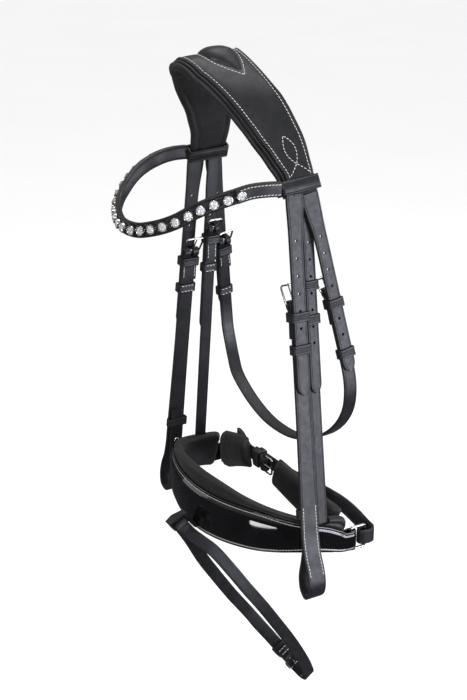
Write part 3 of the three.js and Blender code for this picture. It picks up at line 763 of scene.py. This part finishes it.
def browband():
    sweep = Sweep(BROW, (0, 0, 1), BROW_HEIGHT, BROW_THICK, step=1.6)
    side = [(1.3 - 1.3 * math.cos(t), -1.3 + 1.3 * math.sin(t)) for t in np.linspace(-0.9, 2.2, 8)]
    side += [(2.9, -0.45), (3.4, -0.2)]
    outer = [(-1, d, 0, 0.5, q) for d, q in side] + [(1, -d, 0, 0.5, q) for d, q in side[::-1]]
    inner = [(1, -d, 0, -0.5, q) for d, q in ((0.2, 2.0), (0.6, 0.9), (1.8, 0.2), (3.4, 0.0))]
    inner += [(-1, d, 0, -0.5, q) for d, q in ((3.4, 0.0), (1.8, 0.2), (0.6, 0.9), (0.2, 2.0))]
    strip = sweep.mesh(outer + inner)
    patch = Sweep(BROW[:4], (0, 0, 1), BROW_HEIGHT - 0.6, 1.5,
                  offset=BROW_THICK / 2 + 0.5, step=2)
    tab = Sweep([(73.4, 15, -85.5), (74.0, 17, -85.5), (74.8, 19.4, -85.5)], (0, 0, 1), 10.4, 2.2)
    left = join(patch.mesh(PLAIN), tab.mesh(PLAIN), brow_loop())
    form("browband", join(strip, left, mirrored(left)), LEATHER_SKIN, "bridle", "leather")
    rows = edge_rows(patch, 1.9, 0.5, 0.06, lambda p: p[1] > -17)
    stitching("browband", join(*rows, *map(mirrored, rows)), "bridle")


def stone_mesh():
    """Round brilliant seen from above: table, crown facets and girdle, along z."""
    angle = turns(16)

    def ring(radius, z, turn=0.0):
        return np.column_stack([radius * np.cos(angle + turn), radius * np.sin(angle + turn),
                                np.full(16, z)])
    star = ring(2.75, 3.15, math.pi / 16)
    star[::2] *= (0.96, 0.96, 1.03)  # every other corner in and up, for the star facets
    return loft(np.array([ring(1.2, 0.6), ring(3.35, 2.3), ring(3.35, 2.5), star,
                          ring(1.95, 3.75)]))


def cup_mesh():
    """Metal cup with a rim and four claws round one stone."""
    profile = [(0, 0), (3.7, 0), (4.1, 0.4), (4.15, 2.2), (4.0, 2.9), (3.7, 3.0), (3.45, 2.7),
               (3.4, 1.0), (0, 1.0)]
    points, faces = lathe(profile, 24)
    cup = points[:, [1, 2, 0]], faces
    claws = []
    for turn in (np.arange(4) + 0.5) * math.pi / 2:
        points, faces = stitch_form(1.9, 0.42)
        points = points[:, [2, 1, 0]] + (3.72, 0, 2.75)
        c, s = math.cos(turn), math.sin(turn)
        claws.append((np.column_stack([c * points[:, 0] - s * points[:, 1],
                                       s * points[:, 0] + c * points[:, 1], points[:, 2]]), faces))
    return join(cup, *claws)


def crystal_chain():
    sweep = Sweep(BROW, (0, 0, 1), BROW_HEIGHT, BROW_THICK, step=1.0)
    stones, cups = [], []
    stone, cup = stone_mesh(), cup_mesh()
    for i in range(-CRYSTALS_EACH_SIDE, CRYSTALS_EACH_SIDE + 1):
        u = np.array([sweep.arc[-1] / 2 + i * CRYSTAL_PITCH])
        seat, normal = sweep.surface(u, np.zeros(1), np.array([BROW_THICK / 2 + 0.05]))
        ahead = np.array([np.interp(u[0], sweep.arc, sweep.tangent[:, j]) for j in range(3)])
        normal = unit(normal[0])
        side = unit(np.cross(normal, ahead))
        ahead = np.cross(side, normal)
        turn = 0.3 * math.sin(2.3 * i)
        axes = np.array([math.cos(turn) * ahead + math.sin(turn) * side,
                         math.cos(turn) * side - math.sin(turn) * ahead, normal])
        stones.append((stone[0] @ axes + seat[0], stone[1]))
        cups.append((cup[0] @ axes + seat[0], cup[1]))
    end = CRYSTALS_EACH_SIDE * CRYSTAL_PITCH
    inside = np.abs(sweep.arc - sweep.arc[-1] / 2) < end
    rail = sweep.points([(0, 1, 0, 0.5, 0.1), (0, 1, 0, 0.5, 0.9), (0, -1, 0, 0.5, 0.9),
                         (0, -1, 0, 0.5, 0.1)])[inside]
    piece("crystal_cups", join(loft(rail), *cups), NICKEL, "bridle", ["crystal_chain"])
    piece("crystal_stones", join(*stones), CRYSTAL, "bridle", ["crystal_chain"], 0)


browband()
crystal_chain()

# ---- cheekpieces ----
def cheekpieces():
    loop = [(-PLY, -180), (-PLY, -270), (-PLY, -286), (-1, -301), (3, -315), (3.6, -328), (0, -336.5),
            (-6, -339.6), (-11, -334), (-12, -322), (-9.5, -308), (-6.5, -297), (-5.5, -286),
            (-2 * PLY, -270), (-2 * PLY, -250)]
    folded = fold_path(CHEEK)
    route = folded + [(x, 0, z) for x, z in loop]
    width = [CHEEK["strap"]] * len(folded)
    for i, (x, z) in enumerate(loop):
        if x > -4:
            width.append(CHEEK["strap"] + 2.6 * min(1, (-z - 180) / 100))
        else:
            width.append(12.4 if i > len(loop) - 6 else 15)
    sweep = Sweep(route, (0, -1, 0), width, step=2.2)
    slit = box_mesh(-8, -4.05, -1.0, 1.0, -STUD_DOWN - 8, -STUD_DOWN + 6)
    strap = cut(sweep.mesh(STRAP), tongue_slot(CHEEK), slit)
    pair("cheek_strap", in_strap(strap, CHEEK), LEATHER_SKIN, "cheek_{side}", "leather")

    def sewn(p):
        return -318 < p[2] < -257 and p[0] > -4
    rows = edge_rows(sweep, 2.3, 0.5, 0.07, sewn) + [fold_stitches(CHEEK, sweep)]
    stitching_pair("cheek_strap", in_strap(join(*rows), CHEEK), "cheek_{side}")

    profile = [(0, -4.0), (1.3, -4.0), (1.1, -6.6), (1.5, -6.9), (2.6, -7.0), (2.7, -7.4),
               (2.4, -8.0), (1.7, -8.4), (0.8, -8.6), (0, -8.65)]
    stud = down(lathe(profile[::-1]), STUD_DOWN)
    pair("cheek_stud", in_strap(stud, CHEEK), NICKEL, "cheek_{side}", "metal")
    stack = (-2 * PLY - LEATHER / 2, -PLY - LEATHER / 2 + 0.1)  # sewn between the plies
    keeper = down(keeper_mesh(*stack, BIT_KEEPER_WIDTH / 2), BIT_KEEPER_DOWN)
    pair("cheek_bit_keeper", in_strap(keeper, CHEEK), LEATHER_SKIN, "cheek_{side}", "leather")


def hangers():
    route = fold_path(HANGER) + [(-PLY, 0, -90), (-PLY, 0, -180), (-PLY, 0, -HANGER_LENGTH)]
    sweep = Sweep(route, (0, -1, 0), HANGER["strap"], step=2.2)
    pair("hanger_strap", in_strap(cut(sweep.mesh(STRAP), tongue_slot(HANGER)), HANGER), LEATHER_SKIN,
         "bridle", "leather")
    stitching_pair("hanger_strap", in_strap(fold_stitches(HANGER, sweep), HANGER), "bridle")


def throatlatch():
    hang = [(0, 72, -333), (20, 72, -331.5), (40, 72, -326), (61, 72, -316), (78.5, 72.5, -304),
            (88.5, 74.5, -292), (95, 75.2, -279), (98.2, 74.5, -266), (98.7, 73.6, -254),
            (97.9, 72.2, -243)]
    ends = [(-PLY, 0, -134), (-PLY, 0, -100)] + fold_path(THROAT)[::-1]
    across = strap_axes(THROAT)[1][1]
    wide = [(0, 1, 0)] * len(hang) + [tuple(across)] * len(ends)
    sweep = Sweep(both_sides(hang + route_in(ends, THROAT)), both_sides(wide), THROAT["strap"], step=2.2)
    slot = in_strap(tongue_slot(THROAT), THROAT)
    form("throatlatch_strap", cut(sweep.mesh(BOTH_CREASED), slot, mirrored(slot)), LEATHER_SKIN,
         "throatlatch", "leather")
    alone = Sweep(fold_path(THROAT) + [(-PLY, 0, -134)], (0, -1, 0), THROAT["strap"])
    stitching_pair("throatlatch_strap", in_strap(fold_stitches(THROAT, alone), THROAT), "throatlatch")


cheekpieces()
hangers()
throatlatch()

# ---- noseband ----
RING_WIRE = 2.6
RING = dict(x=104.9, front=75, back=89.5, fold=87, z=-398, height=18.4)
RING_FOLD = RING_WIRE / 2 + 1 + LEATHER / 2
# [x, y, z of the middle, height of the patent facing, top and bottom of the padding behind it]
NOSE = [(0, -17.8, -387.5, 42, -352, -409), (27.4, -15.7, -386.5, 41, -353, -408.5),
        (52.9, -9.4, -385, 39.5, -357, -406.5), (74.8, 0.6, -384, 37, -361, -404),
        (91.6, 13.6, -384.5, 31, -365, -402), (102.2, 28.7, -386, 25.5, -369, -401.5),
        (105.8, 45, -389.5, 23, -371, -404), (107.2, 57, -394, 20.5, -372.5, -406.5),
        (107.6, 65, -397.5, 18, -374, -409)]


def ring_fold(y, turn):
    """Half circle of leather round one bar of a noseband ring, from the outside in."""
    return [(RING["x"] + RING_FOLD * math.cos(t), y + turn * RING_FOLD * math.sin(t), RING["z"])
            for t in np.linspace(0, math.pi, 7)]


def noseband_facing():
    turned = ring_fold(RING["front"], 1) + [(102.4, 69.5, RING["z"])]
    route = both_sides([p[:3] for p in NOSE] + turned)
    height = both_equal([p[3] for p in NOSE] + [17.5] * len(turned))
    puff = both_equal([2.6, 2.6, 2.4, 1.9, 1.0, 0.35, 0.25, 0.3, 0.2] + [0.1] * len(turned))
    sweep = Sweep(route, (0, 0, 1), height, puff=puff, step=1.8)
    side = [(d, q, 0) for d, q in one_edge(0.9)]
    side += [(1.9, 0.1, 0), (2.5, -0.3, 0), (3.1, 0.0, 0), (4.2, 0.1, 0.35), (6, 0.1, 0.75),
             (8.6, 0, 0.95)]
    outer = [(-1, d, 0, 0.5, q, c) for d, q, c in side] + [(0, 0, 0, 0.5, 0, 1.12)]
    outer += [(1, -d, 0, 0.5, q, c) for d, q, c in side[::-1]]
    form("noseband_patent", sweep.mesh(outer + inner_face(one_edge(0.9))), PATENT_SKIN, "bridle",
         "patent", 50)

    def outside(p):
        return p[1] < 66 and abs(p[0]) < 109
    rows = edge_rows(sweep, 2.5, 0.5, -0.1, outside, pitch=2.6, length=2.1)
    stitching("noseband", join(*rows), "bridle")


def noseband_padding():
    """Lining that stands above the facing in two rolls."""
    route = both_sides([(x, y, (top + low) / 2) for x, y, _, _, top, low in NOSE])
    proud = both_equal([top - (z + high / 2) for _, _, z, high, top, _ in NOSE])
    width = both_equal([top - low for *_, top, low in NOSE])
    sweep = Sweep(route, (0, 0, 1), width, 8, offset=-LEATHER / 2 - 0.8, extra=proud, step=1.8)
    top = [(1, 0, -1.05, 0, 0), (1, 0, -0.92, 0, 0.9), (1, 0, -0.75, 0, 1.6), (1, 0, -0.58, 0, 1.3),
           (1, 0, -0.5, 0, 0.5), (1, 0, -0.42, 0, 0.9), (1, 0, -0.25, 0, 1.3), (1, 0, -0.1, 0, 0.7),
           (1, 0, -0.02, -0.12, 0), (1, 0, 0, -0.35, 0), (1, -0.5, 0, -0.62, 0),
           (1, -2.5, 0, -0.88, 0), (1, -6, 0, -0.98, 0), (1, -9, 0, -0.88, 0), (1, -11, 0, -0.95, 0)]
    low = [(-1, 11, 0, -0.95, 0), (-1, 6, 0, -0.98, 0), (-1, 2.5, 0, -0.88, 0), (-1, 0.5, 0, -0.6, 0),
           (-1, 0, 0, -0.3, 0), (-1, 0.6, 0, -0.06, 0), (-1, 2.2, 0, 0, 0)]
    sweep.round_ends(7, 0.25)
    mesh = sweep.mesh((top + [(0, 0, 0, -1, 0)] + low)[::-1])
    pocket = in_strap(box_mesh(-PLY - LEATHER / 2 - 0.5, 6, -6.2, 6.2, -HANGER_LENGTH - 1.5, -250),
                      HANGER)
    made = form("noseband_padding", cut(mesh, pocket, mirrored(pocket)), SOFT_SKIN, "bridle",
                "padding", 60)


def noseband_rings():
    mid, half = (RING["front"] + RING["back"]) / 2, (RING["back"] - RING["front"]) / 2
    outline, ways = rounded_rectangle(half, RING["height"] / 2 + RING_WIRE / 2, 2.2, 7)
    angle = turns(16)
    radius = RING_WIRE / 2
    rings = [np.column_stack([RING["x"] + radius * np.sin(angle), mid + y + wy * radius * np.cos(angle),
                              RING["z"] + z + wz * radius * np.cos(angle)])
             for (y, z), (wy, wz) in zip(outline, ways)]
    pair("noseband_ring", loft(np.array(rings), closed=True), NICKEL, "bridle", "metal")


noseband_facing()
noseband_padding()
noseband_rings()

# ---- jaw strap and its pads ----
JAW_SIDE = [(40, 59, -361.5), (60, 64.5, -363.5), (76, 72.5, -368), (85.5, 80.5, -375),
            (92, 88, -384), (97.5, 94, -392.5)]
JAW_END = [(103.6, 98.3, -398), (107.4, 96.8, -398), (109, 92, -398)] + ring_fold(RING["fold"], -1)
JAW_END += [(101.8, 92, -398)]


def mirror_route(route):
    return [(-x, y, z) for x, y, z in route]


def jaw_strap():
    route = [(-19.5, 57, -361), (0, 57, -361), (22, 57, -361)] + JAW_SIDE + JAW_END
    sweep = Sweep(route, (0, 0, 1), JAW["strap"], step=2.2)
    form("jaw_billet", sweep.mesh(BOTH_CREASED), LEATHER_SKIN, "jaw_strap", "leather")
    folded = route_in(fold_path(JAW) + [(-PLY, 0, -41), (-PLY + 0.3, 0, -46)], JAW)
    sweep = Sweep(folded + mirror_route(JAW_SIDE + JAW_END), (0, 0, 1), JAW["strap"], step=2.2)
    form("jaw_strap", cut(sweep.mesh(BOTH_CREASED), in_strap(tongue_slot(JAW), JAW)), LEATHER_SKIN,
         "jaw_strap", "leather")
    form("jaw_buckle", in_strap(at_bar(buckle_mesh(JAW), JAW), JAW), NICKEL, "jaw_strap", "metal")
    form("jaw_tongue", in_strap(at_bar(tongue_mesh(JAW), JAW), JAW), NICKEL, "jaw_tongue", "metal")
    form("jaw_keeper", in_strap(keeper_at(JAW, STACK_THREE, JAW["lower"]), JAW), LEATHER_SKIN,
         "jaw_keeper", "leather")


def jaw_pads():
    route = [(22, 54.3, -360.5), (40, 56.5, -366), (60, 61, -374), (77, 65.5, -381.5),
             (89.5, 70.5, -387.5)]
    sweep = Sweep(route, (0, 0, 1), [29, 31, 33, 35, 35], 8, offset=-LEATHER / 2 - 0.7, step=1.5)
    sweep.round_ends(5, 0.12)
    bulge = [(k, 0, 0, -0.08 - 0.9 * (1 - abs(k) ** 3.2) ** 0.6, 0) for k in np.linspace(1, -1, 19)]
    flat = [(-0.97, 0, 0, 0, 0), (-0.5, 0, 0, 0, 0), (0.5, 0, 0, 0, 0), (0.97, 0, 0, 0, 0)]
    mesh = sweep.mesh(bulge + flat)
    for made in pair("jaw_pad", mesh, SOFT_SKIN, "jaw_strap", "padding", 70):
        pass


jaw_strap()
jaw_pads()

# ---- flash strap ----
FLASH_Z = -unit(np.array((0, 0.57, -0.82)))
FLASH_AXES = np.array([(1, 0, 0), (0, FLASH_Z[2], -FLASH_Z[1]), FLASH_Z])
FLASH_ORIGIN = np.array((0, -25, -409))
FLASH_SHIFT = -3.5


def at_flash(points):
    """(x, z, y) in the flash loop's frame, to the bridle's frame."""
    return [tuple(np.array((x, y, z)) @ FLASH_AXES + FLASH_ORIGIN) for x, z, y in points]


def flash_loop():
    """Sewn leather loop under the front of the noseband."""
    outer = [(-11.6, 14.4), (-2, 12.4), (4.9, 11.5), (4.9, 0.6), (6.9, 0.6), (6.9, 20), (-4, 24.6),
             (-11.6, 24.2)]
    hollow = [(-6.2, -1.6), (0.3, -1.9), (4.8, -4.5), (6.2, -4.2), (6.2, 1.6), (-0.3, 1.9),
              (-4.8, 4.5), (-6.2, 4.2)]
    curve = bpy.data.curves.new("loop_outline", "CURVE")
    curve.dimensions, curve.fill_mode = "2D", "BOTH"
    curve.extrude, curve.bevel_depth, curve.bevel_resolution = 3.5 * MM, 0.5 * MM, 3
    for ring in (outer, [(FLASH_SHIFT + y, 18 + z) for y, z in hollow]):
        spline = curve.splines.new("POLY")
        spline.points.add(len(ring) - 1)
        spline.use_cyclic_u = True
        middle = np.mean(ring, axis=0)
        inset = 0.5 if ring is outer else -1.0
        for point, (y, z) in zip(spline.points, ring):
            way = unit(np.array((y, z)) - middle)
            y, z = y - inset * way[0], z - inset * way[1]
            point.co = (y * MM, z * MM, 0, 1)
    holder = bpy.data.objects.new("loop_outline", curve)
    bpy.context.scene.collection.objects.link(holder)
    bpy.context.view_layer.update()
    data = bpy.data.meshes.new_from_object(holder.evaluated_get(bpy.context.evaluated_depsgraph_get()))
    flat = np.array([v.co for v in data.vertices], float).reshape(-1, 3) / MM
    faces = [tuple(f.vertices) for f in data.polygons]
    bpy.data.objects.remove(holder)
    points = np.column_stack([flat[:, 2], flat[:, 0], flat[:, 1]]) @ FLASH_AXES + FLASH_ORIGIN
    form("flash_loop", (points, faces), LEATHER_SKIN, "bridle", "leather")


def flash_strap():
    buckle_end = mirror_route(route_in(fold_path(FLASH) + [(-PLY, 0, -70), (-PLY, 0, -95)], FLASH))
    up = [(-22, -112, -7.3), (-17.5, -72, -7.3), (-13, -45, -7), (-9.6, -15, -4.5), (-9.4, 4, -3.5),
          (-8.8, 14.2, -3.5), (-6.2, 17.8, -3.5), (0, 18, -3.5)]
    down_leg = [(6.2, 17.8, -3.5), (8.8, 14.2, -3.5), (9.4, 4, -3), (9.8, -10, -0.5), (11, -28, 2.5),
                (17, -55, 2.5), (22, -80, 1.8), (24, -104, 2), (23.5, -135, 1.6), (20.5, -166, 1.2),
                (13, -200, 0), (6.5, -224, -2), (2.5, -236, -4), (-2, -239.5, -5.2),
                (-6.5, -238.5, -6.2)]
    billet_end = mirror_route(route_in([(0, 0, -2), (0, 0, -12), (0, 0, -50), (0, 0, -80),
                                        (0, 0, -FLASH["tip"] + 4), (0, 0, -FLASH["tip"])], FLASH))
    route = buckle_end + at_flash(up) + at_flash(down_leg) + billet_end
    width = [FLASH["strap"]] * (len(route) - 2) + [FLASH["strap"] * 0.8, 2]
    sweep = Sweep(route, FLASH_AXES[1], width, step=2.2)
    slot = mirrored(in_strap(tongue_slot(FLASH), FLASH))
    form("flash_strap", cut(sweep.mesh(BOTH_CREASED), slot), LEATHER_SKIN, "flash_strap", "leather")
    for name, mesh, skin, body, slot_name in (
            ("flash_buckle", at_bar(buckle_mesh(FLASH), FLASH), NICKEL, "flash_strap", "metal"),
            ("flash_tongue", at_bar(tongue_mesh(FLASH), FLASH), NICKEL, "flash_tongue", "metal"),
            ("flash_keeper", keeper_at(FLASH, STACK_THREE, FLASH["upper"]), LEATHER_SKIN,
             "flash_keeper", "leather")):
        form(name, mirrored(in_strap(mesh, FLASH)), skin, body, slot_name)
    rows = down(keeper_stitches(FLASH, STACK_THREE), FLASH["upper"] + KEEPER_HEIGHT / 2)
    stitching("flash_keeper", mirrored(in_strap(rows, FLASH)), "flash_keeper")


flash_loop()
flash_strap()

# ---- studio: distances in metres, and a camera fitted to the photo ----
AZIMUTH, ELEVATION = math.radians(58.4), math.radians(21)
LOOK_AT, CAMERA_DISTANCE = Vector((0, 0.025, -0.247)), 1.248
LIT_PLACE = Vector((0, 0.02, -0.3))
BACK = Vector((math.sin(AZIMUTH) * math.cos(ELEVATION), -math.cos(AZIMUTH) * math.cos(ELEVATION),
               math.sin(ELEVATION)))
RIGHT = Vector((math.cos(AZIMUTH), math.sin(AZIMUTH), 0))


def camera():
    data = bpy.data.cameras.new("camera")
    data.lens, data.sensor_width = 73.75, 36
    data.clip_start, data.clip_end = 0.05, 50
    made = bpy.data.objects.new("camera", data)
    made.location = LOOK_AT - RIGHT * 0.004 + BACK * CAMERA_DISTANCE
    made.rotation_mode = "QUATERNION"
    made.rotation_quaternion = (-BACK).to_track_quat("-Z", "Y")
    bpy.context.scene.collection.objects.link(made)
    bpy.context.scene.camera = made


def floor():
    """Pale ground, well below the bridle and reaching far past it."""
    size, level = 20000, cad_box[0].z / MM - 120  # millimetres, like every mesh
    points = np.array([(-size, -size, level), (size, -size, level), (size, size, level),
                       (-size, size, level)], float)
    m = Nodes("pale_floor")
    m.colours(m.noise(3), (0.925, 0.925, 0.925), (0.94, 0.94, 0.94))
    m.set(Roughness=0.8, Specular_IOR_Level=0.1)
    made = blender_object("floor", (points, [(0, 1, 2, 3)]), m.material, 0)
    made.visible_glossy = False


def soft_box(name, way, distance, size, radiance, colour=(1, 1, 1)):
    """Soft box that way from the bridle, as bright as `radiance` in a mirror."""
    data = bpy.data.lights.new(name, "AREA")
    data.shape, data.size, data.size_y = "RECTANGLE", *size
    data.energy, data.color = radiance * math.pi * size[0] * size[1], colour
    made = bpy.data.objects.new(name, data)
    aim = Vector(way).normalized()
    made.location = LIT_PLACE + aim * distance
    made.rotation_mode = "QUATERNION"
    made.rotation_quaternion = aim.to_track_quat("Z", "Y")
    made.visible_camera = False
    bpy.context.scene.collection.objects.link(made)


def world():
    """White studio; what glossy surfaces mirror of it is dim below and brighter above."""
    made = bpy.data.worlds.new("studio")
    made.use_nodes = True
    tree = made.node_tree
    place = tree.nodes.new("ShaderNodeTexCoord")
    height = tree.nodes.new("ShaderNodeSeparateXYZ")
    ramp = tree.nodes.new("ShaderNodeValToRGB")
    path = tree.nodes.new("ShaderNodeLightPath")
    mix = tree.nodes.new("ShaderNodeMix")
    mix.data_type = "RGBA"
    tree.links.new(place.outputs["Generated"], height.inputs[0])
    tree.links.new(height.outputs["Z"], ramp.inputs["Fac"])
    ramp.color_ramp.elements[0].color = (0.035, 0.035, 0.04, 1)
    ramp.color_ramp.elements[1].position = 0.9
    ramp.color_ramp.elements[1].color = (0.5, 0.5, 0.52, 1)
    tree.links.new(path.outputs["Is Glossy Ray"], mix.inputs[0])
    mix.inputs[6].default_value = (1, 1, 1, 1)
    tree.links.new(ramp.outputs["Color"], mix.inputs[7])
    tree.links.new(mix.outputs[2], tree.nodes["Background"].inputs["Color"])
    bpy.context.scene.world = made


camera()
floor()
world()
soft_box("key", (0.72, -0.5, 0.56), 1.9, (0.9, 0.35), 7)
soft_box("side", (0.863, 0.489, -0.02), 1.7, (0.9, 1.05), 6.4, (0.86, 0.88, 1))
soft_box("top", (-0.1, 0.3, 1), 1.6, (1.2, 0.8), 2.2)
soft_box("far", (-0.8, -0.6, 0.3), 1.8, (0.6, 1.2), 0.7)
soft_box("rear", (0.15, 1, 0.05), 1.8, (0.8, 0.9), 2.6, (0.92, 0.95, 1))
soft_box("strip", (0.32, -0.85, -0.42), 0.95, (0.5, 0.07), 8)
bpy.context.scene.view_settings.view_transform = "Standard"
